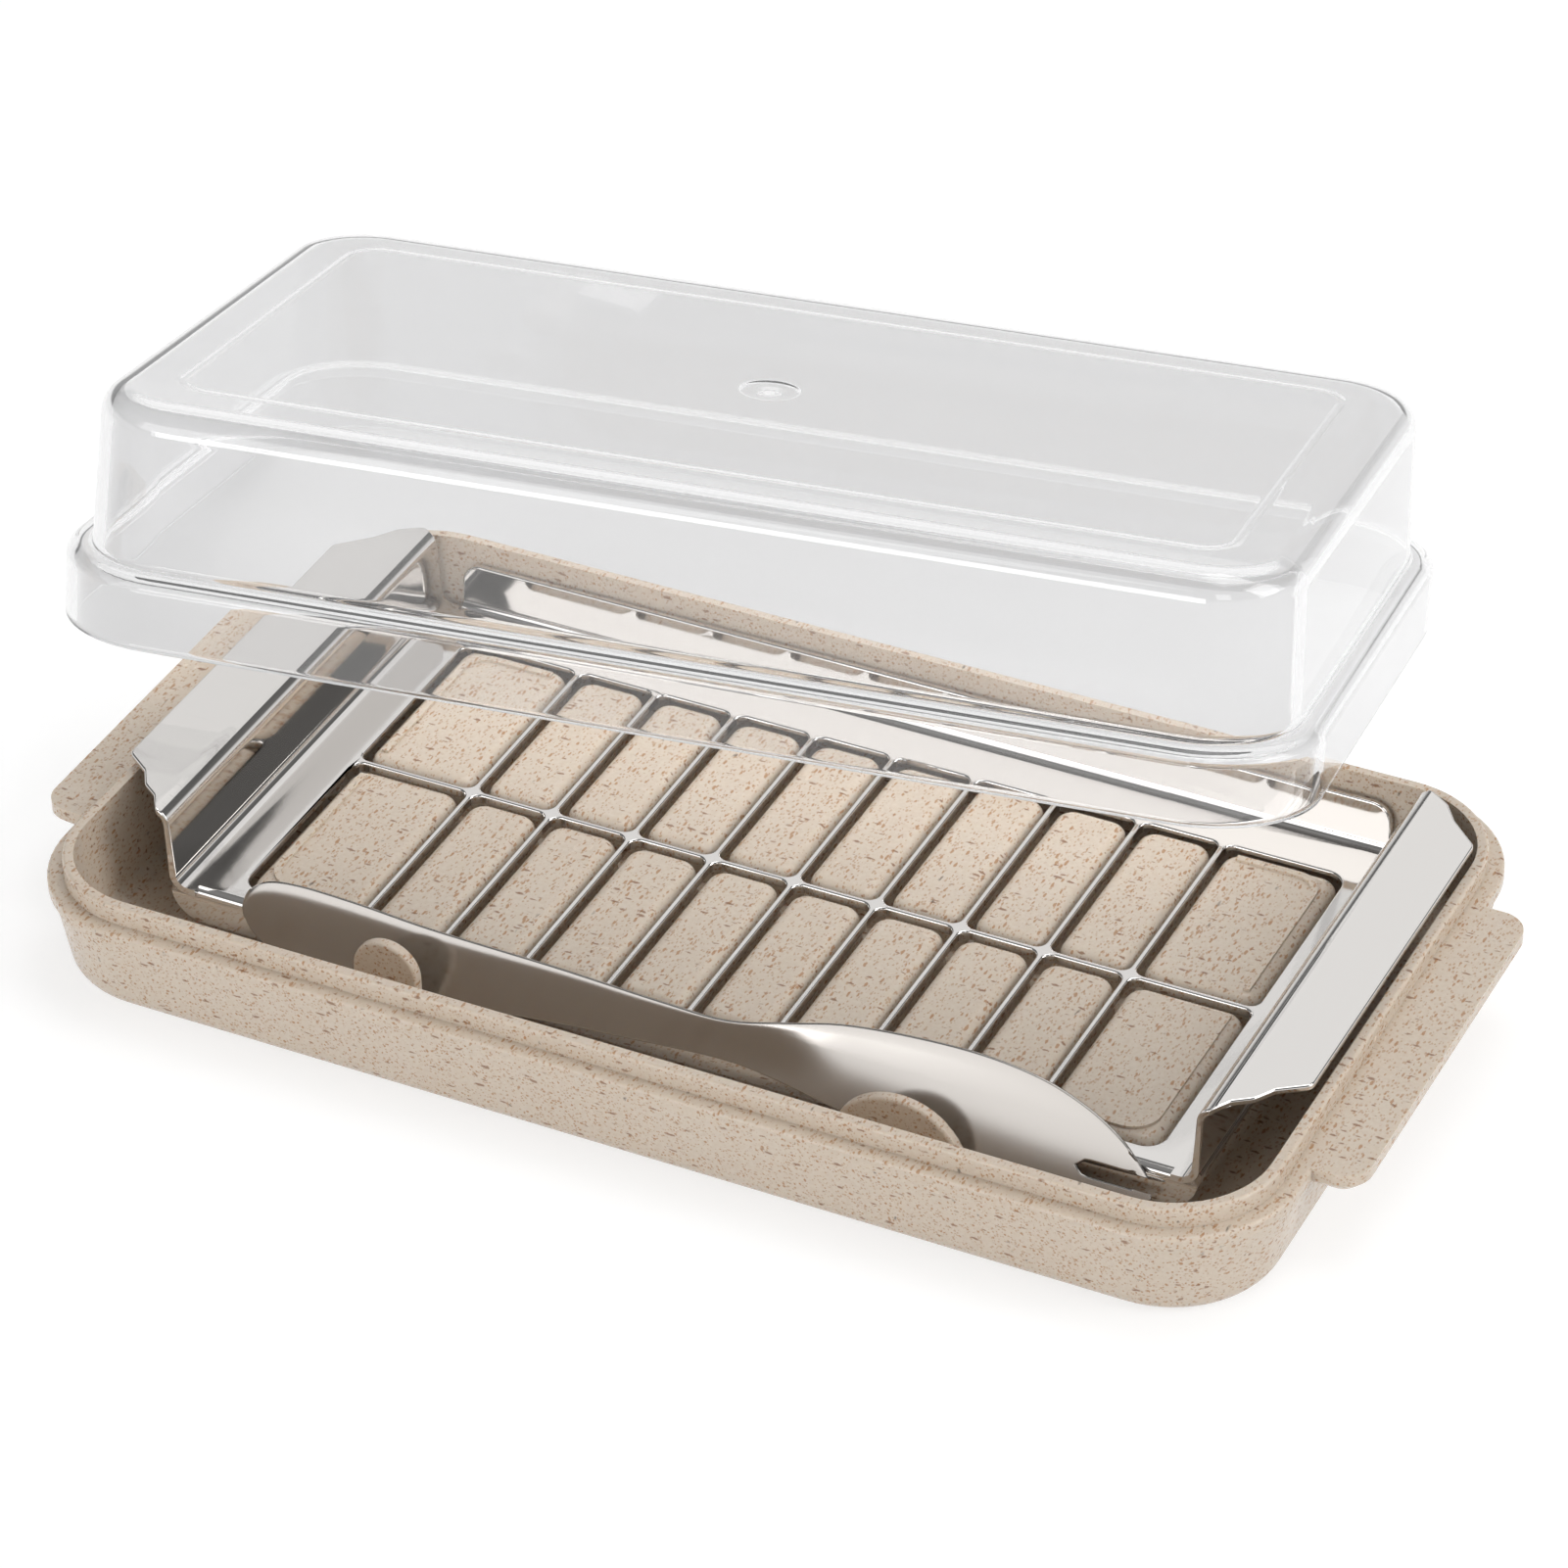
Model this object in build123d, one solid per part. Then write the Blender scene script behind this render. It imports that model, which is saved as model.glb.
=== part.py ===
from build123d import *
import os
from math import atan2, cos, degrees, radians, sin, tan

# Butter dish with a press-down portion cutter, a spreading knife and a clear lid.
# Origin: middle of the tray's underside. +X along the dish, +Y to the back, +Z up. Millimetres.

# --- portions -------------------------------------------------------------------------
cell_pitch = 12.5            # from bar to bar, one portion of butter
bars_across = 9              # cross bars of the grid
end_cell = 17.9              # clear length of the two end windows of a row
row_depth = 32.2             # clear depth of each row of windows
bar_width = 0.85
bar_depth = 1.6
window_r = 1.5               # fillet where bars cross
field_corner_r = 2.8         # outer corners of the window field

# --- cutter sheet ---------------------------------------------------------------------
sheet = 1.0
end_strip = 7.1              # plate from the end windows to the end walls, on average
grid_aside = 0.9             # the grid is punched this much off the sheet's middle
front_strip = 2.3            # plate from the front windows to the front bend
front_flange_height = 5.3    # from the plate's top to the front flange's free edge
rear_strip = 8.9             # plate from the rear windows to the rear flange's outer face
front_bend_r = 1.6           # outer radius of the front bend
rear_bend_r = 2.2
end_bend_r = 2.8
flange_corner_r = 5.0        # rounded lower corners of the front flange
rear_flange_height = 7.3
rear_flange_end = 3.2        # how far the rear flange stops short of the end walls
rear_corner_r = 3.0
wall_lean = 3.0              # degrees that the end walls lean outwards
lip_reach = 12.4             # from an end wall's foot to its lip's outer edge
lip_front_setback = 10.0     # from the front flange to the start of the lip's straight edge
lip_rear_setback = 9.6
lip_rear_end = 1.3           # the end walls stop this far short of the rear flange's face
lip_step = 4.4               # the S-shaped notch at each lip corner
lip_corner_r = 1.5
lip_root = 1.5               # lip kept beyond the wall's foot where the S meets the wall

# --- tray -----------------------------------------------------------------------------
floor_thickness = 1.7
rim_height = 17.4
rim_width = 1.55
rim_round = 0.45
ledge_height = 14.6
ledge_reach = 3.8            # from the rim's inner edge to the ledge's outer edge
ledge_lip = 1.7              # thickness of the ledge's lip
ledge_round = 0.5
lip_undercut = 0.5           # the wall starts this far inside the lip
wall_taper = 2.15            # how far the wall draws in from the lip to the foot
foot_r = 3.0
tray_corner_r = 13.7         # inside corner at the rim
inner_draft = 1.0
floor_r = 2.0
handle_reach = 6.7
handle_width = 61.0
handle_thickness = 3.4
handle_corner_r = 4.0
handle_bevel = 1.6

block_drop = 0.05            # block tops below the cutter's upper face
block_gap = 0.75             # from a block's top edge to the bar beside it
block_flare = 0.5            # how much wider a block is at its foot, each side
block_corner_r = 2.6
block_top_r = 1.9
bead_inset = 1.9             # raised bead at the outer end of the end blocks
bead_width = 1.0
bead_height = 0.45

lug_thickness = 1.8
small_lug_x = -40.1
small_lug_r = 4.9
small_lug_height = 13.1
large_lug_x = 35.9
large_lug_r = 9.7
large_lug_height = 12.0
lug_round = 0.5

# --- room between pieces ----------------------------------------------------------------
seat_gap = 0.3               # what rests stands this far off its seat
wall_room = 11.8             # cutter end wall to the tray's end wall
rear_room = 1.1              # cutter's rear flange to the tray's rear wall
channel_width = 17.7         # front flange to the tray's front wall
lip_room = 1.3               # lips above the rim
knife_room = 0.9             # knife to the lugs

# --- butter knife -----------------------------------------------------------------------
knife_length = 136.0
knife_thickness = 1.0
knife_lean = 33.0            # degrees back from upright
knife_centre = 2.2
blade_width = 14.4
slot_depth = 10.5
slot_width = 1.9
slot_rise = 3.9              # slot's lower edge above the blade's lower edge

# --- lid --------------------------------------------------------------------------------
lid_wall = 1.6
lid_height = 34.2
lid_edge_set = 0.1           # lid edge inside the ledge's edge
skirt_height = 10.9
shoulder = 3.7               # step from the skirt in to the dome
shoulder_r = 1.2
dome_draft = 0.8
dome_r = 4.2
groove_inset = 14.3
groove_width = 1.4
groove_depth = 0.4
groove_corner_r = 5.9
lid_turn = 8.7               # degrees about the vertical, where it leans on the tray
lid_aside = -37.0            # middle of its back edge, across the dish
lid_behind = 53.7            # from the tray's rear rim back to the middle of its back edge
table_gap = 0.1

# --- worked out from the values above -----------------------------------------------------
field_x = (bars_across - 1) / 2 * cell_pitch + bar_width / 2 + end_cell
field_y = bar_width / 2 + row_depth
wall_foot = field_x + end_strip + sheet           # outer face of an end wall at the plate
flange_front = field_y + front_strip + front_bend_r
flange_rear = field_y + rear_strip
lip_end = wall_foot - sheet + lip_reach
inner_x = wall_foot - sheet + wall_room
inner_y = (flange_front + flange_rear + channel_width + rear_room) / 2
cutter_y = inner_y - rear_room - flange_rear
plate_top = floor_thickness + seat_gap + front_flange_height
lip_top = rim_height + lip_room + sheet
ledge_x = inner_x + ledge_reach
ledge_y = inner_y + ledge_reach
ledge_r = tray_corner_r + ledge_reach


def rounded(half_x, half_y, radius, height=0.0):
    return Pos(0, 0, height) * RectangleRounded(2 * half_x, 2 * half_y, radius)


def tapered(low, high):
    """Solid between two outlines, each (half_x, half_y, radius, height)."""
    return loft([rounded(*low), rounded(*high)], ruled=True)


def grown(half_x, half_y, radius, by, height):
    return half_x + by, half_y + by, radius + by, height


def edges_at(solid, height, within=0.01):
    return [e for e in solid.edges() if all(abs(v.Z - height) < within for v in e.vertices())]


# ---- tray ------------------------------------------------------------------------------
def tray_shell():
    lip_low = ledge_height - ledge_lip
    wall_top = ledge_reach - lip_undercut
    foot = grown(inner_x, inner_y, tray_corner_r, wall_top - wall_taper, 0)
    under_lip = grown(inner_x, inner_y, tray_corner_r, wall_top, lip_low)
    wall = tapered(foot, under_lip)
    wall = fillet(edges_at(wall, 0), foot_r)
    lip = extrude(rounded(ledge_x, ledge_y, ledge_r, lip_low), ledge_lip)
    lip = fillet(edges_at(lip, ledge_height), ledge_round)
    rim_size = grown(inner_x, inner_y, tray_corner_r, rim_width, lip_low)
    rim = extrude(rounded(*rim_size), rim_height - lip_low)
    rim = fillet(edges_at(rim, rim_height), rim_round)
    return wall + lip + rim


def tray_cavity():
    low = grown(inner_x, inner_y, tray_corner_r, -inner_draft, floor_thickness)
    high = (inner_x, inner_y, tray_corner_r, rim_height)
    cavity = tapered(low, high)
    return fillet(edges_at(cavity, floor_thickness), floor_r)


def handle():
    reach = ledge_x + handle_reach
    plan = Pos(reach / 2, 0, ledge_height - handle_thickness) * Rectangle(reach, handle_width)
    outer = plan.vertices().group_by(Axis.X)[-1]
    grip = extrude(fillet(outer, handle_corner_r), handle_thickness)
    under = [e for e in edges_at(grip, ledge_height - handle_thickness) if e.center().X > 1]
    grip = chamfer(under, handle_bevel)
    inner = Pos(0, 0, rim_height / 2) * Box(2 * inner_x, 2 * inner_y, 2 * rim_height)
    return grip - inner


def block(length, depth):
    """One raised block, its foot at the origin, standing on the tray's floor."""
    height = plate_top - block_drop - floor_thickness
    half_x = length / 2 - block_gap
    half_y = depth / 2 - block_gap
    low = (half_x + block_flare, half_y + block_flare, block_corner_r, 0)
    top = (half_x, half_y, block_corner_r, height)
    solid = tapered(low, top)
    return fillet(edges_at(solid, height), block_top_r)


def end_bead(length, depth):
    """Raised bead along the outer end and the outer long edge of an end block."""
    top = plate_top - block_drop - floor_thickness
    half_x = length / 2 - block_gap - bead_inset
    half_y = depth / 2 - block_gap - bead_inset
    corner = block_corner_r + bead_width
    path = FilletPolyline((half_x, half_y), (half_x, -half_y), (-half_x, -half_y), radius=corner)
    return extrude(Pos(0, 0, top - bead_height) * trace(path, line_width=bead_width), 2 * bead_height)


def cell_centres():
    """Middle x and clear length of each window in a row, left to right."""
    first = -(bars_across - 1) / 2 * cell_pitch
    middles = [first + cell_pitch * (i + 0.5) for i in range(bars_across - 1)]
    narrow = [(x, cell_pitch - bar_width) for x in middles]
    outer = field_x - end_cell / 2
    return [(-outer, end_cell)] + narrow + [(outer, end_cell)]


def blocks():
    row_middle = bar_width / 2 + row_depth / 2
    parts = []
    for x, length in cell_centres():
        shape = block(length, row_depth)
        for side in (-1, 1):
            place = Pos(x, cutter_y + side * row_middle, floor_thickness)
            parts.append(place * shape)
            if length == end_cell:
                bead = end_bead(length, row_depth)
                bead = bead if x > 0 else bead.mirror(Plane.YZ)
                parts.append(place * (bead if side < 0 else bead.mirror(Plane.XZ)))
    return parts


def lug(x, radius, height):
    """Upright round-topped lug in the front channel, which keeps the knife back."""
    face = Pos(0, height - radius) * Circle(radius)
    face += Pos(0, (height - radius) / 2) * Rectangle(2 * radius, height - radius)
    face &= Pos(0, height / 2) * Rectangle(4 * radius, height)
    plate = extrude(face, lug_thickness)
    rounded_edges = [e for e in plate.edges() if e.center().Y > height - radius]
    plate = fillet([e for e in rounded_edges if e.geom_type == GeomType.CIRCLE], lug_round)
    return Pos(x, lug_rear_y, floor_thickness) * Rot(90, 0, 0) * plate


def tray():
    body = tray_shell() + handle() + handle().mirror(Plane.YZ) - tray_cavity()
    for piece in blocks():
        body += piece
    body += lug(small_lug_x, small_lug_r, small_lug_height - floor_thickness)
    body += lug(large_lug_x, large_lug_r, large_lug_height - floor_thickness)
    return body


# ---- cutter ----------------------------------------------------------------------------
def window(x, y, length):
    """Window outline, with a larger corner where it meets the field's corner."""
    frame = Pos(x, y) * Rectangle(length, row_depth)
    if length == cell_pitch - bar_width:
        return fillet(frame.vertices(), window_r)
    outer = [v for v in frame.vertices() if abs(v.X) > abs(x) and abs(v.Y) > abs(y)]
    frame = fillet(outer, field_corner_r)
    inner = [v for v in frame.vertices() if abs(v.X) < abs(x)]
    inner += [v for v in frame.vertices() if abs(v.X) > abs(x) and abs(v.Y) < bar_width]
    return fillet(inner, window_r)


def windows():
    row_middle = bar_width / 2 + row_depth / 2
    return [window(x, side * row_middle, length) for x, length in cell_centres() for side in (-1, 1)]


def bent_sheet(points, radii):
    path = FilletPolyline(*points, radius=radii)
    return trace(path, line_width=sheet)


def long_sheet():
    """Plate with its front flange down and its rear flange up, its top at height 0."""
    mid = sheet / 2
    points = [(-(flange_front - mid), -front_flange_height), (-(flange_front - mid), -mid),
              (flange_rear - mid, -mid), (flange_rear - mid, rear_flange_height)]
    band = bent_sheet(points, [front_bend_r - mid, rear_bend_r - mid])
    solid = extrude(Plane.YZ * band, wall_foot, both=True)
    front = Plane.XZ * flange_outline(wall_foot, -front_flange_height, flange_corner_r)
    rear = Plane.XZ * flange_outline(wall_foot - sheet - rear_flange_end, rear_flange_height, rear_corner_r)
    middle = Box(4 * wall_foot, 2 * field_y + front_strip, 2 * sheet)
    keep = extrude(front, flange_front + 1) + extrude(rear, -flange_rear - 1) + middle
    return solid & keep


def flange_outline(half, height, radius):
    """Upright outline from the plate to a flange's free edge, its free corners rounded."""
    plate_side = -2 * sheet if height > 0 else sheet
    frame = Pos(0, (height + plate_side) / 2) * Rectangle(2 * half, abs(height - plate_side))
    free = [v for v in frame.vertices() if abs(v.Y - height) < 0.01]
    return fillet(free, radius)


def lip_outline():
    """Plan of the end walls and their lips: straight outer edge and an S at each corner."""
    front = -flange_front
    rear = flange_rear - lip_rear_end
    near = wall_foot + lip_root
    front_s = [(0, 1), (0.9, 0.72), (1.3, 0.44), (1.85, 0.27)]    # shares of lip_step, of the setback
    rear_s = [(0, 1), (1, 0.56), (1.5, 0.23)]
    corners = [(near, front)]
    corners += [(lip_end - i * lip_step, front + j * lip_front_setback) for i, j in reversed(front_s)]
    corners += [(lip_end - i * lip_step, rear - j * lip_rear_setback) for i, j in rear_s]
    corners.append((near, rear))
    right = Polyline(*corners)
    left = Polyline(*[(-x, y) for x, y in corners])
    closing = [Line(right @ 0, left @ 0), Line(right @ 1, left @ 1)]
    outline = make_face([*right.edges(), *left.edges(), *[c.edge() for c in closing]])
    lip_corners = [v for v in outline.vertices() if abs(v.X) > near + 0.1]
    return fillet(lip_corners, lip_corner_r)


def bend_relief(face_y, radius):
    """Strip of plan between the end walls that a flange's bend takes up."""
    half = wall_foot - end_bend_r - sheet
    return Pos(0, face_y) * Rectangle(2 * half, 2 * radius)


def cross_sheet():
    """Plate with the two end walls and their outward lips, its top at height 0."""
    mid = sheet / 2
    lip_height = lip_top - plate_top - mid
    foot = wall_foot - mid
    head = foot + (lip_height + mid) * tan(radians(wall_lean))
    right = [(foot, -mid), (head, lip_height), (lip_end + 1, lip_height)]
    left = [(-x, z) for x, z in reversed(right)]
    radius = end_bend_r - mid
    band = bent_sheet(left + right, [radius, radius, radius, radius])
    solid = extrude(Plane.XZ * band, flange_front + flange_rear, both=True)
    plan = lip_outline() - bend_relief(-flange_front, front_bend_r) - bend_relief(flange_rear, rear_bend_r)
    return solid & extrude(Pos(0, 0, -2 * sheet) * plan, lip_top)


def cutter():
    plate = Pos(-grid_aside, 0, 0) * (long_sheet() + cross_sheet())
    holes = windows()
    for hole in holes:
        plate -= extrude(Pos(0, 0, -2 * sheet) * hole, 3 * sheet)
    grid = Rectangle(2 * field_x, 2 * field_y)
    for hole in holes:
        grid -= hole
    clear_of_ends = Rectangle(2 * field_x - bar_width, 2 * field_y - bar_width)
    plate += extrude(Pos(0, 0, -bar_depth) * (grid & clear_of_ends), bar_depth - sheet / 2)
    return Pos(0, cutter_y, plate_top) * plate


# ---- butter knife ----------------------------------------------------------------------
def knife_outline():
    """Flat outline: handle to the left, slotted blade to the right, lower edge near 0."""
    unit = knife_length / 2
    upper_shares = [(-1, 0.46), (-0.97, 0.68), (-0.9, 0.753), (-0.76, 0.75), (-0.58, 0.708),
                    (-0.3, 0.69), (-0.05, 0.653), (0.08, 0.656), (0.2, 0.785), (0.31, 0.91),
                    (0.45, 0.98), (0.6, 1), (0.73, 0.94), (0.83, 0.806), (0.91, 0.625), (0.96, 0.45)]
    lower_shares = [(1, 0.18), (0.93, 0.05), (0.8, 0), (0.6, 0.014), (0.4, 0.1), (0.2, 0.236),
                    (0.08, 0.278), (-0.1, 0.23), (-0.3, 0.16), (-0.5, 0.063), (-0.7, 0),
                    (-0.85, 0.028), (-0.95, 0.153), (-1, 0.46)]
    upper = [(x * unit, y * blade_width) for x, y in upper_shares]
    lower = [(x * unit, y * blade_width) for x, y in lower_shares]
    edge = [Spline(*upper).edge(), Line(upper[-1], lower[0]).edge(), Spline(*lower).edge()]
    slot_length = slot_depth + slot_width
    slot_middle = (unit - slot_depth + slot_length / 2, slot_rise + slot_width / 2)
    return make_face(edge) - Pos(*slot_middle) * SlotOverall(slot_length, slot_width)


def knife_foot():
    """Back of the knife's lower edge, (y, z): on the channel's floor, leant on the front bend."""
    lean = radians(knife_lean)
    bend_y = cutter_y - flange_front + front_bend_r
    bend_z = plate_top - front_bend_r
    foot_z = floor_thickness + seat_gap
    reach = front_bend_r + seat_gap
    return bend_y - (reach - (foot_z - bend_z) * sin(lean)) / cos(lean), foot_z


def butter_knife():
    """The knife stands on the channel's floor and leans back on the cutter's front bend."""
    lean = radians(knife_lean)
    stand = Plane((knife_centre, *knife_foot()), x_dir=(1, 0, 0), z_dir=(0, -cos(lean), sin(lean)))
    return extrude(stand * knife_outline(), knife_thickness)


def knife_front():
    """Front-most y of the knife's lower edge, from which the lugs keep their distance."""
    return knife_foot()[0] - knife_thickness * cos(radians(knife_lean))


lug_rear_y = knife_front() - knife_room


# ---- lid -------------------------------------------------------------------------------
def lid_solid(inset, cut, top):
    """Outer or inner form of the lid: skirt, shoulder and drafted dome."""
    half_x = ledge_x - lid_edge_set - inset
    half_y = ledge_y - lid_edge_set - inset
    radius = ledge_r - inset
    skirt = extrude(rounded(half_x, half_y, radius), skirt_height - cut)
    low = grown(half_x, half_y, radius, -shoulder, 0)
    high = grown(half_x, half_y, radius, -shoulder - dome_draft, top)
    dome = tapered(low, high)
    dome = fillet(edges_at(dome, top), dome_r - cut)
    skirt = fillet(edges_at(skirt, skirt_height - cut), shoulder_r)
    return skirt + dome


def lid_groove():
    half_x = ledge_x - lid_edge_set - groove_inset
    half_y = ledge_y - lid_edge_set - groove_inset
    outer = rounded(half_x, half_y, groove_corner_r, lid_height - groove_depth)
    inner = rounded(half_x - groove_width, half_y - groove_width, groove_corner_r - groove_width,
                    lid_height - groove_depth)
    return extrude(outer - inner, 2 * groove_depth)


def lid_lean():
    """Lean of the lid: back edge on the table, one end edge across the tray's rear rim."""
    turn = radians(lid_turn)
    across = (lid_behind + (ledge_x - lid_edge_set) * sin(turn)) / cos(turn)
    return degrees(atan2(rim_height + seat_gap - table_gap, across))


def lid():
    shell = lid_solid(0, 0, lid_height) - lid_solid(lid_wall, lid_wall, lid_height - lid_wall)
    shell -= lid_groove()
    back_edge = Pos(lid_aside, inner_y + rim_width + lid_behind, table_gap)
    lean = Rot(0, 0, lid_turn) * Rot(-lid_lean(), 0, 0)
    return back_edge * lean * Pos(0, -(ledge_y - lid_edge_set), 0) * shell


pieces = {"tray": tray, "cutter": cutter, "butter_knife": butter_knife, "lid": lid}
os.makedirs("parts", exist_ok=True)
for name, make in pieces.items():
    export_step(make(), f"parts/{name}.step")
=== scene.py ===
from math import acos, cos, exp, pi, radians, sin, tan

import bmesh
import bpy
from mathutils import Matrix, Vector


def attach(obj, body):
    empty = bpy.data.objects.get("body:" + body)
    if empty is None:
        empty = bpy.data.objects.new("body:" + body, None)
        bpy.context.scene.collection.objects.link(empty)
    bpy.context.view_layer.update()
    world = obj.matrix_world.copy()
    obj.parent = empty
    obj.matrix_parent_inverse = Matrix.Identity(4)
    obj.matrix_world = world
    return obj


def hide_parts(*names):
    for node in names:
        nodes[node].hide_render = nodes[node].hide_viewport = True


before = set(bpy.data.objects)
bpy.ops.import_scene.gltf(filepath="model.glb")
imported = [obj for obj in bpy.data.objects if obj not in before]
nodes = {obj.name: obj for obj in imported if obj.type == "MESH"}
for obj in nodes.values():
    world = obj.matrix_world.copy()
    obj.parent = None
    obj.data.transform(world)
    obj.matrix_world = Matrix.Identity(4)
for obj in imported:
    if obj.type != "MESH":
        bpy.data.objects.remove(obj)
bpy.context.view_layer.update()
mm = 0.001
noiseMiddle = 0.5        # what a noise averages
print("frame loaded")


class Wire:
    # one output of a node; arithmetic on it adds Math nodes
    def __init__(self, tree, socket=None):
        self.tree, self.socket = tree, socket

    def node(self, kind, settings=None, inputs=None, output=0):
        made = self.tree.nodes.new("ShaderNode" + kind)
        for name, value in (settings or {}).items():
            if name == "stops":
                ramp = made.color_ramp
                for place, colour in value[:-2]:
                    ramp.elements.new(place)
                for element, (place, colour) in zip(ramp.elements, value):
                    element.position, element.color = place, colour
            else:
                setattr(made, name, value)
        for name, value in (inputs or {}).items():
            if isinstance(value, Wire):
                self.tree.links.new(value.socket, made.inputs[name])
            else:
                made.inputs[name].default_value = value
        return Wire(self.tree, made.outputs[output] if made.outputs else None)

    def output(self, name):
        return Wire(self.tree, self.socket.node.outputs[name])

    def maths(self, operation, first, second=0.0, clamp=False):
        settings = {"operation": operation, "use_clamp": clamp}
        return self.node("Math", settings, {0: first, 1: second})

    def __add__(self, other):
        return self.maths("ADD", self, other)

    def __sub__(self, other):
        return self.maths("SUBTRACT", self, other)

    def __mul__(self, other):
        return self.maths("MULTIPLY", self, other)

    def __gt__(self, other):
        return self.maths("GREATER_THAN", self, other)

    def kept(self):
        # held between 0 and 1
        return self.maths("ADD", self, 0.0, clamp=True)

    def blend(self, first, second):
        # first colour where this is 0, second where it is 1
        return self.node("Mix", {"data_type": "RGBA"}, {"Factor": self, 6: first, 7: second}, 2)

    def shifted(self, other, amount):
        # this place moved by a noise's colour, evenly about its middle
        middle = (noiseMiddle, noiseMiddle, noiseMiddle)
        centred = self.node("VectorMath", {"operation": "SUBTRACT"}, {0: other, 1: middle})
        step = self.node("VectorMath", {"operation": "SCALE"}, {0: centred, "Scale": amount})
        return self.node("VectorMath", {"operation": "ADD"}, {0: self, 1: step})


def newMaterial(name):
    material = bpy.data.materials.new(name)
    material.use_nodes = True
    material.node_tree.nodes.clear()
    return material, Wire(material.node_tree)


def placed(wire, scale, turn=(0, 0, 0)):
    # the piece's own coordinates, stretched and turned for a pattern
    where = wire.node("TexCoord", output="Object")
    return wire.node("Mapping", None, {"Vector": where, "Scale": scale, "Rotation": turn})


def noise(wire, scale, detail, turn=(0, 0, 0)):
    # scale is in waves to the metre, each way
    return wire.node("TexNoise", None, {
        "Vector": placed(wire, scale, turn), "Scale": 1.0, "Detail": detail})


def closed(wire, shader):
    wire.node("OutputMaterial", None, {"Surface": shader})


# camera: place and directions in the dish's own frame
viewpoint = {
    "place": (0.31182, -0.61319, 0.52147),
    "right": (0.897733, 0.440209, -0.017098),
    "down": (0.242919, -0.527025, -0.814393),
    "forward": (-0.367514, 0.726953, -0.580062),
    "lens": 144.68,
    "sensor": 36,
    "shiftY": -0.01655,
    "nearest": 0.01,
}


def makeCamera(spec):
    data = bpy.data.cameras.new("camera")
    data.sensor_width = spec["sensor"]
    data.lens = spec["lens"]
    data.shift_y = spec["shiftY"]
    data.clip_start = spec["nearest"]
    camera = bpy.data.objects.new("camera", data)
    bpy.context.collection.objects.link(camera)
    right, down, forward = (Vector(spec[k]) for k in ("right", "down", "forward"))
    turn = Matrix((right, -down, -forward)).transposed()
    camera.matrix_world = Matrix.Translation(spec["place"]) @ turn.to_4x4()
    bpy.context.scene.camera = camera


makeCamera(viewpoint)

# studio: softboxes in a dim room with a pale horizon, and a white floor that keeps the shadow
studio = {
    "softboxes": [
        # name, place and size in metres, watts
        ("softboxKey", (0.15, 0.30, 1.2), (0.8, 0.6), 4.0),
        ("softboxRight", (1.15, 0.15, 0.68), (0.7, 0.9), 7.2),
        ("softboxBack", (-0.20, 1.02, 0.82), (1.5, 0.62), 2.5),
        ("softboxFrontLeft", (-0.52, -1.16, 0.76), (1.0, 0.75), 4.2),
        ("softboxFrontRight", (0.95, -1.20, 0.85), (0.5, 0.6), 1.6),
        ("softboxLow", (-0.10, -1.70, 0.42), (1.2, 0.4), 6.4),
    ],
    "aim": (0.0, 0.0, 0.02),
    # brightness of the room by the height of a direction
    "room": [(0.0, 0.92), (0.15, 0.88), (0.27, 0.18), (0.68, 0.14), (1.0, 0.32)],
    "behindGlass": (0.88, 0.88, 0.88, 1),
    "floorHalf": 6.0,
    "floorColour": (0.80, 0.80, 0.80, 1),
    "floorSeen": (0.42, 0.42, 0.42, 1),
    "floorGlow": 0.68,
    "glowSeen": (1, 1, 1, 1),
    "glowThroughLid": (0.56, 0.56, 0.56, 1),    # dimmer behind the lid
}


def makeLamp(name, place, size, power):
    data = bpy.data.lights.new(name, "AREA")
    data.shape = "RECTANGLE"
    data.size, data.size_y = size
    data.energy = power
    lamp = bpy.data.objects.new(name, data)
    bpy.context.collection.objects.link(lamp)
    lamp.location = place
    facing = Vector(studio["aim"]) - Vector(place)
    lamp.rotation_euler = facing.to_track_quat("-Z", "Y").to_euler()


for lampSpec in studio["softboxes"]:
    makeLamp(*lampSpec)


def makeWorld():
    world = bpy.data.worlds.new("studio")
    bpy.context.scene.world = world
    world.use_nodes = True
    world.node_tree.nodes.clear()
    wire = Wire(world.node_tree)
    direction = wire.node("TexCoord", output="Generated")
    up = wire.node("SeparateXYZ", None, {0: direction}, "Z")
    stops = [(height, (level, level, level, 1)) for height, level in studio["room"]]
    colour = wire.node("ValToRGB", {"stops": stops}, {"Fac": up})
    through = wire.node("LightPath", output="Is Transmission Ray")
    colour = through.blend(colour, studio["behindGlass"])
    sky = wire.node("Background", None, {"Color": colour, "Strength": 1.0})
    wire.node("OutputWorld", None, {"Surface": sky})


def makeFloor():
    bm = bmesh.new()
    bmesh.ops.create_grid(bm, x_segments=1, y_segments=1, size=studio["floorHalf"])
    mesh = bpy.data.meshes.new("floor")
    bm.to_mesh(mesh)
    bm.free()
    floor = bpy.data.objects.new("floor", mesh)
    bpy.context.collection.objects.link(floor)
    material, wire = newMaterial("studioFloor")
    path = wire.node("LightPath", output="Is Camera Ray")
    seen = (path + path.output("Is Glossy Ray") + path.output("Is Transmission Ray")).kept()
    matt = wire.node("BsdfDiffuse", None, {"Color": studio["floorColour"]})
    through = path.output("Is Transmission Ray")
    tone = through.blend(studio["glowSeen"], studio["glowThroughLid"])
    glow = wire.node("Emission", None, {"Color": tone, "Strength": studio["floorGlow"]})
    shaded = wire.node("BsdfDiffuse", None, {"Color": studio["floorSeen"]})
    lit = wire.node("AddShader", None, {0: shaded, 1: glow})
    closed(wire, wire.node("MixShader", None, {0: seen, 1: matt, 2: lit}))
    mesh.materials.append(material)


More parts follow.
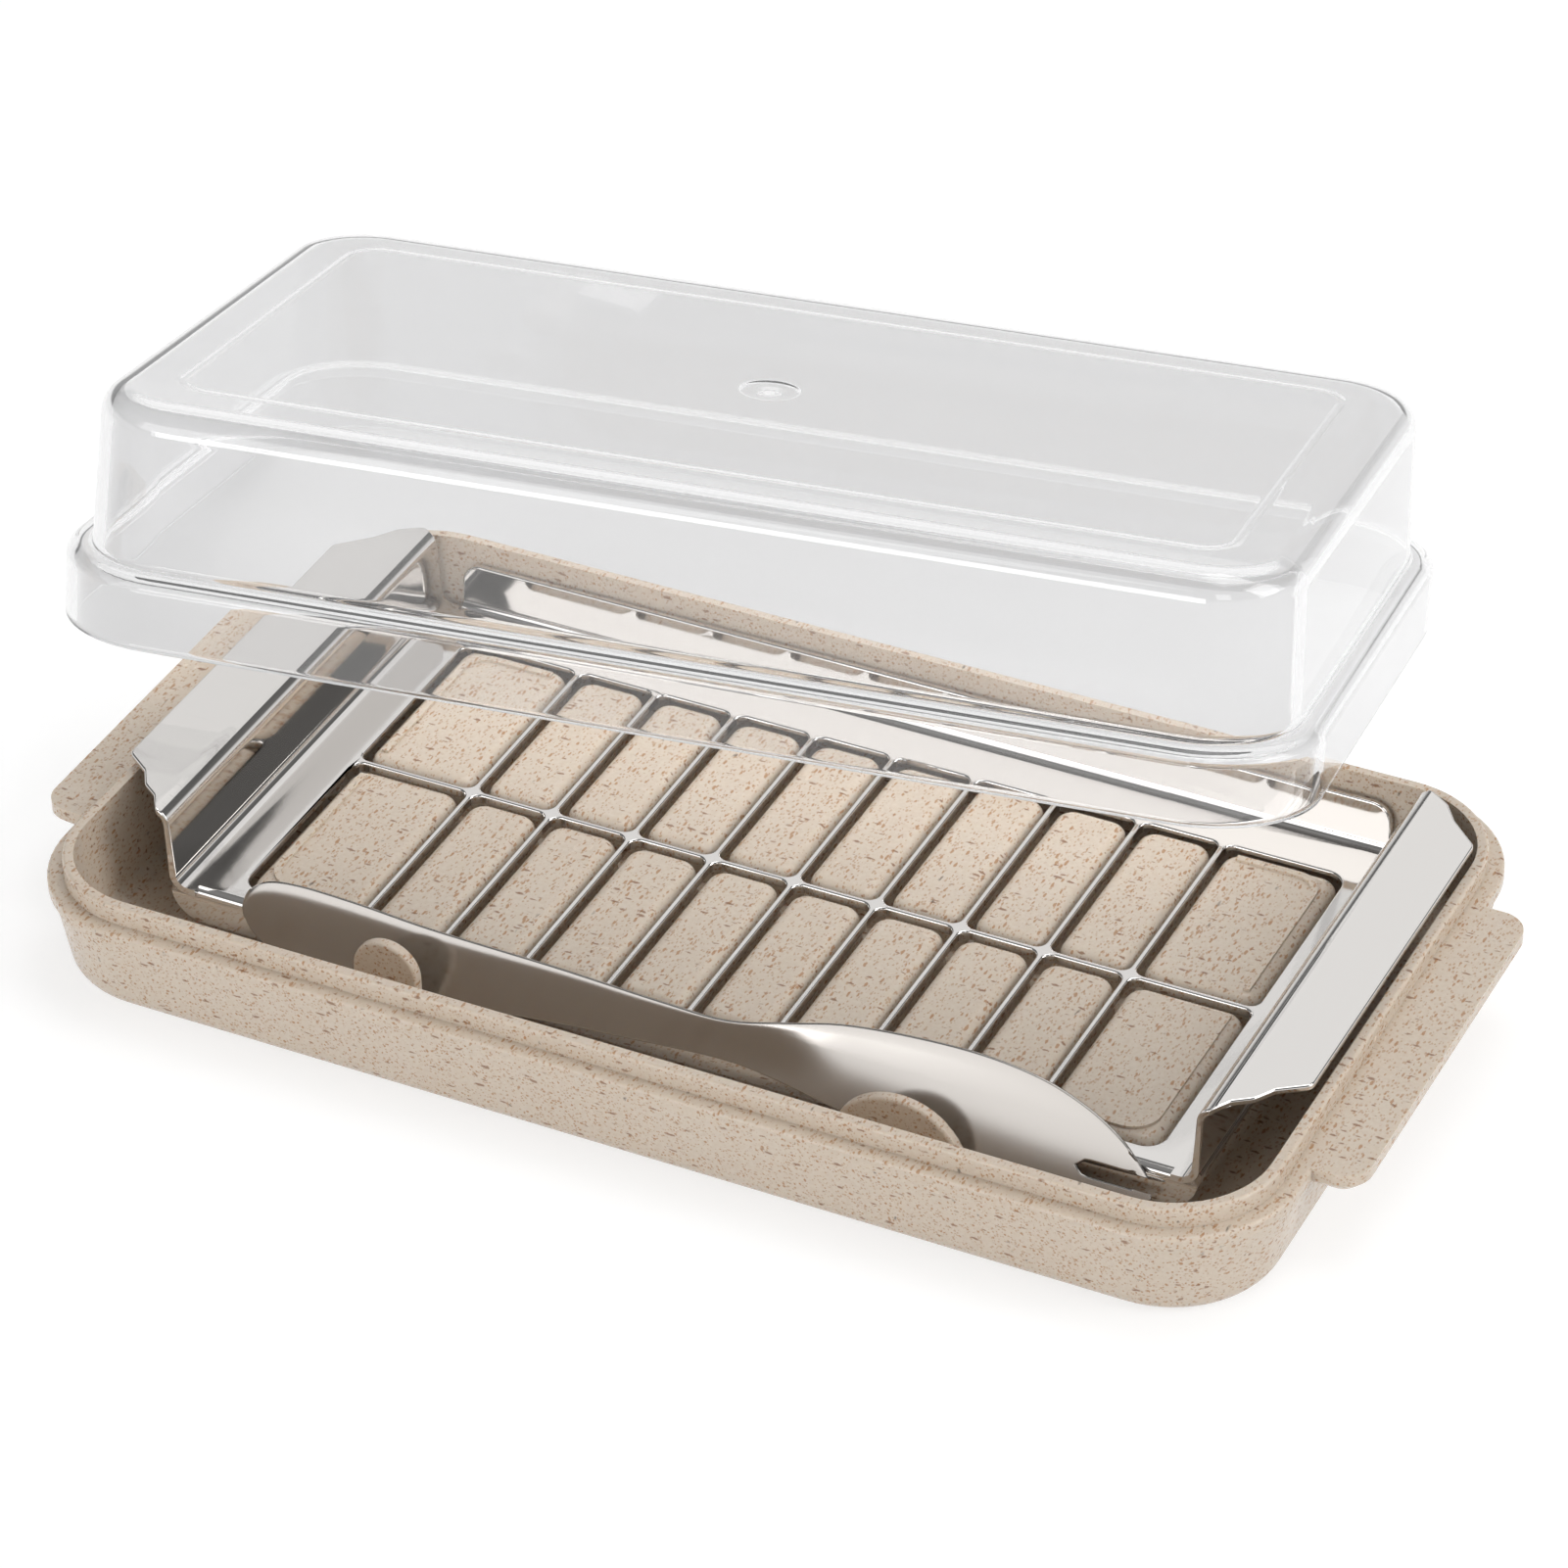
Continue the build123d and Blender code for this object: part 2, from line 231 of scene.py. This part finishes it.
bpy.context.scene.view_settings.view_transform = "Standard"
makeWorld()
makeFloor()
print("studio made")


# wheat-straw plastic: cream with brown flecks and a few dark specks
plastic = {
    "pale": (0.665, 0.58, 0.485, 1),
    "deep": (0.605, 0.50, 0.395, 1),
    "roughness": 0.25,
    "roughnessSpread": 0.12,
    "ior": 1.48,
    "glow": 0.25,            # share of the light that wanders in it
    "depth": 1.2,            # how far it wanders, mm
    "depthByColour": (1.0, 0.7, 0.45),
    # clouds and grain tint the cream; waves to the metre
    "cloud": {"waves": 90, "detail": 3.0, "weight": 0.5},
    "grain": {"waves": 1500, "detail": 2.0, "weight": 1.5},
    "mottleMiddle": 0.35,
    "bumpStrength": 0.05,
    "bumpHeight": 0.2,       # mm
    "wobble": 0.55,          # how ragged a fleck's outline is
    "wobbleScale": 2.3,
    "wobbleDetail": 2.0,
    "fleckSmallest": 0.35,   # of its kind's size
    "fleckSpread": 0.9,
    "fleckCrispness": 7.0,
    # each kind of fleck: spacing and size in mm, share of the cells that hold one
    "flecks": [
        {"tone": (0.42, 0.22, 0.10, 1), "strength": 0.50, "spacing": 0.38, "size": 0.19, "share": 0.60,
         "stretch": (1, 0.6, 1), "turn": (0.3, 0.2, 0.4)},
        {"tone": (0.42, 0.22, 0.10, 1), "strength": 0.80, "spacing": 0.54, "size": 0.215, "share": 0.46,
         "stretch": (1, 0.38, 1), "turn": (0.5, 0.3, 0.9)},
        {"tone": (0.24, 0.11, 0.05, 1), "strength": 0.75, "spacing": 0.82, "size": 0.25, "share": 0.38,
         "stretch": (0.38, 1, 1), "turn": (0.2, 0.5, 0.3)},
        {"tone": (0.06, 0.04, 0.03, 1), "strength": 0.85, "spacing": 1.9, "size": 0.27, "share": 0.30,
         "stretch": (1, 0.4, 0.8), "turn": (0.1, 0.7, 1.3)},
    ],
}


def fleckMask(wire, spec, fleck):
    # one spot to a cell, in a share of the cells, each of its own size
    spacing = fleck["spacing"]
    where = placed(wire, [stretch / (spacing * mm) for stretch in fleck["stretch"]], fleck["turn"])
    wobble = wire.node("TexNoise", None, {
        "Vector": where, "Scale": spec["wobbleScale"], "Detail": spec["wobbleDetail"]}, "Color")
    moved = where.shifted(wobble, spec["wobble"])
    cell = wire.node("TexVoronoi", None, {"Vector": moved, "Scale": 1.0})
    draw = wire.node("SeparateColor", None, {0: cell.output("Color")}, "Red")
    reach = draw.output("Green") * spec["fleckSpread"] + spec["fleckSmallest"]
    spot = ((reach * (fleck["size"] / spacing) - cell) * spec["fleckCrispness"]).kept()
    return spot * (draw > 1.0 - fleck["share"])


def makePlastic(spec):
    material, wire = newMaterial("speckledPlastic")
    cloudSpec, grainSpec = spec["cloud"], spec["grain"]
    cloud = noise(wire, [cloudSpec["waves"]] * 3, cloudSpec["detail"])
    grain = noise(wire, [grainSpec["waves"]] * 3, grainSpec["detail"])
    clouded = (cloud - noiseMiddle) * cloudSpec["weight"]
    grained = (grain - noiseMiddle) * grainSpec["weight"]
    mottle = (clouded + grained + spec["mottleMiddle"]).kept()
    colour = mottle.blend(spec["pale"], spec["deep"])
    for fleck in spec["flecks"]:
        colour = (fleckMask(wire, spec, fleck) * fleck["strength"]).blend(colour, fleck["tone"])
    bump = wire.node("Bump", None, {
        "Height": grain, "Strength": spec["bumpStrength"], "Distance": spec["bumpHeight"] * mm})
    rough = (cloud - noiseMiddle) * spec["roughnessSpread"] + spec["roughness"]
    closed(wire, wire.node("BsdfPrincipled", None, {
        "Base Color": colour, "Roughness": rough, "Normal": bump, "IOR": spec["ior"],
        "Subsurface Weight": spec["glow"], "Subsurface Radius": spec["depthByColour"],
        "Subsurface Scale": spec["depth"] * mm}))
    return material


# stainless sheet: bright, with fine scratches, most of them along the dish
steel = {
    "colour": (0.72, 0.70, 0.68, 1),
    "roughness": 0.07,
    "scratchRoughness": 0.16,
    "scratchedOver": 18.6,   # mm; only the lips are scratched
    # each set of scratches: waves to the metre, and the level of the noise that a scratch starts at
    "scratches": [
        {"waves": (90, 3200, 900), "turn": (0, 0, 0), "over": 0.55, "crispness": 5.0, "weight": 0.6},
        {"waves": (2600, 70, 900), "turn": (0, 0, 0.4), "over": 0.6, "crispness": 6.0, "weight": 0.4},
    ],
    "scratchDetail": 3.0,
    "buckle": (45, 45, 45),  # waves to the metre of its slight unevenness
    "buckleDetail": 1.0,
    "buckleStrength": 0.12,
    "buckleHeight": 0.4,     # mm
}


def makeSteel(name, spec):
    material, wire = newMaterial(name)
    sets = []
    for scratch in spec["scratches"]:
        streak = noise(wire, scratch["waves"], spec["scratchDetail"], scratch["turn"])
        sets.append(((streak - scratch["over"]) * scratch["crispness"]).kept() * scratch["weight"])
    along, across = sets
    height = wire.node("SeparateXYZ", None, {0: placed(wire, (1, 1, 1))}, "Z")
    marks = (along + across) * (height > spec["scratchedOver"] * mm)
    rough = marks * spec["scratchRoughness"] + spec["roughness"]
    bump = wire.node("Bump", None, {
        "Height": noise(wire, spec["buckle"], spec["buckleDetail"]), "Strength": spec["buckleStrength"],
        "Distance": spec["buckleHeight"] * mm})
    closed(wire, wire.node("BsdfPrincipled", None, {
        "Base Color": spec["colour"], "Metallic": 1.0, "Roughness": rough, "Normal": bump}))
    return material


# the knife's sheet is rougher than the cutter's; its colour is darkened as painted shade, standing in
# for the dim channel that the blade mirrors
knifeDullAndShaded = {
    # painted shade: a darker colour for the shaded channel reflected in the blade
    "colour": (0.39, 0.37, 0.35, 1),
    "roughness": 0.18,
}


# clear lid plastic; light passes it on its way to the dish
clear = {
    "tint": (0.885, 0.885, 0.89, 1),
    "clearness": 0.975,       # the rest is a pale haze
    "shadow": (0.88, 0.88, 0.88, 1),
    "mirrored": (0.97, 0.97, 0.97, 1),
    "roughness": 0.015,
    "ior": 1.49,
}


def makeClear(spec):
    material, wire = newMaterial("clearPlastic")
    glass = wire.node("BsdfPrincipled", None, {
        "Base Color": spec["tint"], "Roughness": spec["roughness"], "IOR": spec["ior"],
        "Transmission Weight": spec["clearness"]})
    path = wire.node("LightPath", output="Is Shadow Ray")
    shadowed = wire.node("BsdfTransparent", None, {"Color": spec["shadow"]})
    shown = wire.node("MixShader", None, {0: path, 1: glass, 2: shadowed})
    # light mirrored in the steel passes straight through
    mirrored = (path.output("Is Glossy Ray") - path.output("Is Transmission Ray")).kept()
    passing = wire.node("BsdfTransparent", None, {"Color": spec["mirrored"]})
    closed(wire, wire.node("MixShader", None, {0: mirrored, 1: shown, 2: passing}))
    return material


speckledPlastic = makePlastic(plastic)
cutterSteel = makeSteel("cutterSteel", steel)
knifeSteel = makeSteel("knifeSteel", steel | knifeDullAndShaded)
clearPlastic = makeClear(clear)
print("materials made")


def smooth(t):
    # 0 to 1, level at both ends
    return t * t * (3 - 2 * t)


def between(value, low, high):
    return min(max(value, low), high)


def finished(bm, name, material, body, node, smoothUnder):
    # a bmesh made a piece of the model, riding its body and standing for its node
    mesh = bpy.data.meshes.new(name)
    bm.to_mesh(mesh)
    bm.free()
    mesh.materials.append(material)
    piece = bpy.data.objects.new(name, mesh)
    bpy.context.collection.objects.link(piece)
    mesh.shade_smooth()
    mesh.set_sharp_from_angle(angle=radians(smoothUnder))
    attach(piece, body)
    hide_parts(node)
    return piece


def weighEdges(bm, over, isPlain):
    # edges sharper than this take the bevel, except where the shape is too tight for it
    weights = bm.edges.layers.float.new("bevel_weight_edge")
    for edge in bm.edges:
        middle = (edge.verts[0].co + edge.verts[1].co) / 2 / mm
        edge[weights] = edge.calc_face_angle(0) > radians(over) and not isPlain(middle)


def addBevel(piece, width, segments):
    bevel = piece.modifiers.new("edges", "BEVEL")
    bevel.width = width * mm
    bevel.segments = segments
    bevel.limit_method = "WEIGHT"
    bevel.harden_normals = True
    bevel.use_clamp_overlap = False


nodes["tray"].material_slots[0].material = speckledPlastic
print("tray finished")


# cutter: the sheet's edges and the bars get their rolled rounding
cutterSpec = {
    "merge": 0.001,     # mm
    "flatUnder": 0.5,   # degrees
    "edge": 0.32,       # mm
    "segments": 3,
    "bevelOver": 40,    # degrees
    "smoothUnder": 35,  # degrees
    "middleY": 5.8,
    "plainCorner": (68, 32, 9),     # left square beyond this, where the bends meet
}


def makeCutter(spec):
    bm = bmesh.new()
    bm.from_mesh(nodes["cutter"].data)
    bmesh.ops.remove_doubles(bm, verts=bm.verts, dist=spec["merge"] * mm)
    flat = radians(spec["flatUnder"])
    bmesh.ops.dissolve_limit(bm, angle_limit=flat, verts=bm.verts, edges=bm.edges)
    cornerX, cornerY, cornerZ = spec["plainCorner"]
    weighEdges(bm, spec["bevelOver"], lambda place: (
        abs(place.x) > cornerX and abs(place.y - spec["middleY"]) > cornerY and place.z < cornerZ))
    piece = finished(bm, "cutterSheet", cutterSteel, "cutter", "cutter",
                     spec["smoothUnder"])
    addBevel(piece, spec["edge"], spec["segments"])


makeCutter(cutterSpec)
print("cutter finished")


# knife: one pressed blank, dished across, twisted a little along its length and hollowed at its waist
knifeSpec = {
    "half": 68.0,            # half its length, mm
    "width": 14.4,
    # edges in shares of half and of width, from the back end to the tip
    "upper": [(-1, 0.46), (-0.97, 0.68), (-0.9, 0.753), (-0.76, 0.75), (-0.58, 0.708), (-0.3, 0.69),
              (-0.05, 0.653), (0.08, 0.656), (0.2, 0.785), (0.31, 0.91), (0.45, 0.98), (0.6, 1.0),
              (0.73, 0.94), (0.83, 0.806), (0.91, 0.625), (0.96, 0.45), (1, 0.18)],
    "lower": [(-1, 0.46), (-0.95, 0.153), (-0.85, 0.028), (-0.7, 0), (-0.5, 0.063), (-0.3, 0.16),
              (-0.1, 0.23), (0.08, 0.278), (0.2, 0.236), (0.4, 0.1), (0.6, 0.014), (0.8, 0),
              (0.93, 0.05), (1, 0.18)],
    "columns": 120,
    "rows": 14,
    "merge": 0.01,           # mm
    "thickness": 0.85,
    "face": 0.845,           # of the sheet's front, out from the stand plane
    "edge": 0.28,
    "edgeSegments": 3,
    "bevelOver": 50,         # degrees
    "smoothUnder": 35,       # degrees
    "bevelled": (-64.9, 67.4),       # the tight ends beyond these keep square edges
    "stand": (2.2, -33.79, 2.0),
    "lean": 33.0,
    # the rows beside the slot start to part before its root; the slit is half the gap they have there
    "slot": {"root": 57.5, "rise": 3.9, "width": 1.9, "row": 4, "before": 14, "run": 12, "slit": 0.02},
    # (share of the half length, degrees), turned about a line at a share of the width
    "twist": [(-1, -4.5), (-0.5, -5.5), (0.08, -6.0), (0.34, 1.0), (0.83, 3.5), (1, 4)],
    "twistAt": 0.45,
    "dish": 0.0035,          # mm at 1 mm from the middle, growing with the square
    "hollow": {"place": (9.5, 5.0), "size": (7.0, 3.4), "depth": 0.5},
    # (share of the half length, mm of the upper edge turned back)
    "roll": [(-1, 2.0), (-0.6, 1.7), (-0.2, 0.9), (0.1, 0.6), (1, 0.6)],
    "rollSlope": 0.11,
}


def eased(points, x):
    # smooth line through points whose first numbers rise, level at each turn
    for (x0, y0), (x1, y1) in zip(points, points[1:]):
        if x <= x1:
            return y0 + (y1 - y0) * smooth((x - x0) / (x1 - x0))
    return points[-1][1]


def throughPoints(points, x):
    # Catmull-Rom line through points, spaced as on a half circle so that both ends come out round
    turned = [(acos(-px), py) for px, py in points]
    at = acos(-x)
    last = len(turned) - 2
    index = next((i for i in range(last + 1) if at <= turned[i + 1][0]), last)
    (x0, y0), (x1, y1) = turned[index], turned[index + 1]
    before, after = turned[max(index - 1, 0)], turned[min(index + 2, last + 1)]
    slope0 = (y1 - before[1]) / (x1 - before[0])
    slope1 = (after[1] - y0) / (after[0] - x0)
    run = x1 - x0
    t = (at - x0) / run
    return (y0 * smooth(1 - t) + run * slope0 * t * (1 - t) ** 2
            + y1 * smooth(t) + run * slope1 * t * t * (t - 1))


def columnShare(x):
    # the grid's columns crowd towards both ends
    return -cos(pi * (x + 1) / 2)


def knifeRise(spec, share, row, low, high):
    # height of a row up the blank; two rows spread to bound the slot
    slot = spec["slot"]
    past = share * spec["half"] - slot["root"]
    pull = smooth(between((past + slot["before"]) / slot["run"], 0, 1))
    half = slot["width"] / 2
    within = between(past / half, 0, 1)
    gap = half * (1 - (1 - within) ** 2) ** 0.5 + slot["slit"]
    bottom, top = slot["rise"] - gap, slot["rise"] + gap
    if row <= slot["row"]:
        pulled = low + (bottom - low) * row / slot["row"]
    else:
        pulled = top + (high - top) * (row - slot["row"] - 1) / (spec["rows"] - slot["row"] - 1)
    rise = low + (high - low) * row / spec["rows"]
    return between(rise + (pulled - rise) * pull, low, high)


def knifePlace(spec, share, rise, high):
    # a point on the blank's front
    twist = radians(eased(spec["twist"], share))
    hollow = spec["hollow"]
    across = (share * spec["half"] - hollow["place"][0]) / hollow["size"][0]
    upward = (rise - hollow["place"][1]) / hollow["size"][1]
    dent = hollow["depth"] * exp(-across * across - upward * upward)
    dish = spec["dish"] * (rise - spec["width"] / 2) ** 2
    reach = eased(spec["roll"], share)
    past = max(rise - high + reach, 0)
    roll = spec["rollSlope"] * past * past / reach
    out = spec["face"] - tan(twist) * (rise - spec["width"] * spec["twistAt"]) - dent + dish - roll
    lean = radians(spec["lean"])
    place = Vector(spec["stand"]) + Vector((share * spec["half"], 0, 0))
    place += Vector((0, sin(lean), cos(lean))) * rise + Vector((0, -cos(lean), sin(lean))) * out
    return place * mm


def makeKnife(spec):
    bm = bmesh.new()
    rows, slot = spec["rows"], spec["slot"]
    bmesh.ops.create_grid(bm, x_segments=spec["columns"], y_segments=rows, size=1)
    slotFaces = []
    for face in bm.faces:
        middle = face.calc_center_median()
        row = round((middle.y + 1) / 2 * rows - 0.5)
        if row == slot["row"] and columnShare(middle.x) * spec["half"] > slot["root"]:
            slotFaces.append(face)
    for vert in bm.verts:
        share = columnShare(vert.co.x)
        row = round((vert.co.y + 1) / 2 * rows)
        low = throughPoints(spec["lower"], share) * spec["width"]
        high = throughPoints(spec["upper"], share) * spec["width"]
        vert.co = knifePlace(spec, share, knifeRise(spec, share, row, low, high), high)
    bmesh.ops.delete(bm, geom=slotFaces, context="FACES")
    bmesh.ops.remove_doubles(bm, verts=bm.verts, dist=spec["merge"] * mm)
    bmesh.ops.dissolve_degenerate(bm, dist=spec["merge"] * mm, edges=bm.edges)
    bmesh.ops.recalc_face_normals(bm, faces=bm.faces)
    bmesh.ops.solidify(bm, geom=bm.faces[:], thickness=spec["thickness"] * mm)
    first, last = spec["bevelled"]
    weighEdges(bm, spec["bevelOver"], lambda place: not first < place.x < last)
    piece = finished(bm, "knifeBlank", knifeSteel, "butter_knife", "butter_knife",
                     spec["smoothUnder"])
    addBevel(piece, spec["edge"], spec["edgeSegments"])


makeKnife(knifeSpec)
print("knife finished")


# lid: one moulded shell drawn up from its rings; lengths in mm, from the skirt's foot
lidSpec = {
    "halfX": 90.925,
    "halfY": 52.125,
    "cornerR": 17.5,
    "wall": 1.6,
    "footR": 0.5,
    "skirt": 10.9,
    "shoulder": 3.7,
    "shoulderR": 1.8,
    "draft": 0.8,
    "height": 34.2,
    "domeR": 4.2,
    "smallR": 0.8,
    "groove": (14.3, 1.6, 0.13),     # inset, width, depth
    "grooveCornerR": 5.9,
    "grooveLip": [(0, 0), (0.2, 0.25), (0.45, 0.8), (0.7, 1)],       # mm in, share of the depth
    "tightestR": 0.5,
    "middle": 30,                    # inset of the innermost rings
    # radius and depth of each ring of the gate mark
    "gate": [(4.7, 0), (4.4, 0), (4.3, 0.075), (4.0, 0.25), (3.7, 0.25), (2.5, 0.175), (0.9, 0.15),
             (0.7, 0.02)],
    "turn": 8.7,
    "lean": 14.45,
    "backEdge": (-37.0, 103.675, 0.1),
    "cornerSteps": 14,
    "domeSteps": (7, 9),             # inside, outside
    "shoulderSteps": 5,
    "smallSteps": 4,
    "footSteps": 3,
    "heldGap": 0.3,
    "heldOver": 1.2,
    "smoothUnder": 50,               # degrees
}


def arc(inset, height, radius, first, last, steps):
    # section of a fillet about (inset, height), angles in degrees
    angles = [radians(first + (last - first) * i / steps) for i in range(steps + 1)]
    return [(inset + radius * cos(a), height + radius * sin(a)) for a in angles]


def held(points, gap, longest):
    # a flat run gets a ring near each of its ends, so that the fillets keep their shading
    result = points[:1]
    for (i0, h0), (i1, h1) in zip(points, points[1:]):
        run = Vector((i1 - i0, h1 - h0))
        if run.length > longest:
            step = run.normalized() * gap
            result += [(i0 + step.x, h0 + step.y), (i1 - step.x, h1 - step.y)]
        result.append((i1, h1))
    return result


def lidSection(spec):
    # (inset, height) from the top's inner middle down the inside, then up the outside
    wall, small, foot = spec["wall"], spec["smallR"], spec["footR"]
    dome, shoulder, shoulderR = spec["domeR"], spec["shoulder"], spec["shoulderR"]
    top, skirt, middle = spec["height"], spec["skirt"], spec["middle"]
    innerSteps, outerSteps = spec["domeSteps"]
    smallSteps, footSteps = spec["smallSteps"], spec["footSteps"]
    domeInset = shoulder + spec["draft"] + dome
    inner = [(middle, top - wall)]
    inner += arc(domeInset, top - dome, dome - wall, 90, 180, innerSteps)
    inner += arc(shoulder + wall - small, skirt - wall + small, small, 0, -90, smallSteps)
    inner += arc(wall + small, skirt - wall - small, small, 90, 180, smallSteps)
    inner += arc(wall - foot, foot, foot, 0, -90, footSteps)
    outer = arc(foot, foot, foot, -90, -180, footSteps)
    outer += arc(shoulderR, skirt - shoulderR, shoulderR, 180, 90, spec["shoulderSteps"])
    outer += arc(shoulder - small, skirt + small, small, -90, 0, smallSteps)
    outer += arc(domeInset, top - dome, dome, 180, 90, outerSteps)
    start, width, depth = spec["groove"]
    for edge, side in ((start, 1), (start + width, -1)):
        lip = [(edge + side * step, top - depth * share) for step, share in spec["grooveLip"]]
        outer += lip[::side]
    outer.append((middle, top))
    gap, over = spec["heldGap"], spec["heldOver"]
    return held(inner, gap, over) + held(outer, gap, over)


def cornerRadius(spec, inset):
    start = spec["groove"][0]
    flat = spec["shoulder"] + spec["draft"] + spec["domeR"]
    if inset < flat:
        return spec["cornerR"] - inset
    if inset < start:
        share = (inset - flat) / (start - flat)
        return (spec["cornerR"] - flat) * (1 - share) + spec["grooveCornerR"] * share
    return max(spec["grooveCornerR"] - (inset - start), spec["tightestR"])


def ringPlace(spec, station, index):
    # a vertex on the rounded rectangle at this inset
    inset, height = station
    corner, step = divmod(index, spec["cornerSteps"] + 1)
    radius = cornerRadius(spec, inset)
    angle = pi / 2 * (corner + step / spec["cornerSteps"])
    signX = 1 if corner in (0, 3) else -1
    signY = 1 if corner in (0, 1) else -1
    x = signX * (spec["halfX"] - inset - radius) + radius * cos(angle)
    y = signY * (spec["halfY"] - inset - radius) + radius * sin(angle)
    return Vector((x, y, height)) * mm


def ringEdges(ring):
    edges = []
    for vert, following in zip(ring, ring[1:] + ring[:1]):
        edges += [e for e in vert.link_edges if e.other_vert(vert) == following]
    return edges


def drawOn(bm, ring, places):
    # the open edge of a shell drawn on to its next ring of places
    grown = bmesh.ops.extrude_edge_only(bm, edges=ringEdges(ring))["geom"]
    partner = {}
    for vert in (v for v in grown if isinstance(v, bmesh.types.BMVert)):
        for edge in vert.link_edges:
            partner[edge.other_vert(vert)] = vert
    ring = [partner[v] for v in ring]
    for vert, place in zip(ring, places):
        vert.co = place
    return ring


def makeLid(spec):
    bm = bmesh.new()
    count = 4 * (spec["cornerSteps"] + 1)
    section = lidSection(spec)
    ring = bmesh.ops.create_circle(bm, segments=count, radius=1)["verts"]
    for index, vert in enumerate(ring):
        vert.co = ringPlace(spec, section[0], index)
    bmesh.ops.contextual_create(bm, geom=ring)
    for station in section[1:]:
        ring = drawOn(bm, ring, [ringPlace(spec, station, i) for i in range(count)])
    for radius, depth in spec["gate"]:
        height = spec["height"] - depth
        angles = [2 * pi * i / count for i in range(count)]
        places = [Vector((radius * cos(a), radius * sin(a), height)) * mm for a in angles]
        ring = drawOn(bm, ring, places)
    bmesh.ops.contextual_create(bm, geom=ring)
    bmesh.ops.recalc_face_normals(bm, faces=bm.faces)
    place = Matrix.Translation(Vector(spec["backEdge"]) * mm)
    turn = Matrix.Rotation(radians(spec["turn"]), 4, "Z")
    lean = Matrix.Rotation(radians(-spec["lean"]), 4, "X")
    back = Matrix.Translation((0, -spec["halfY"] * mm, 0))
    bmesh.ops.transform(bm, matrix=place @ turn @ lean @ back, verts=bm.verts)
    finished(bm, "lidShell", clearPlastic, "lid", "lid", spec["smoothUnder"])


makeLid(lidSpec)
print("lid finished")
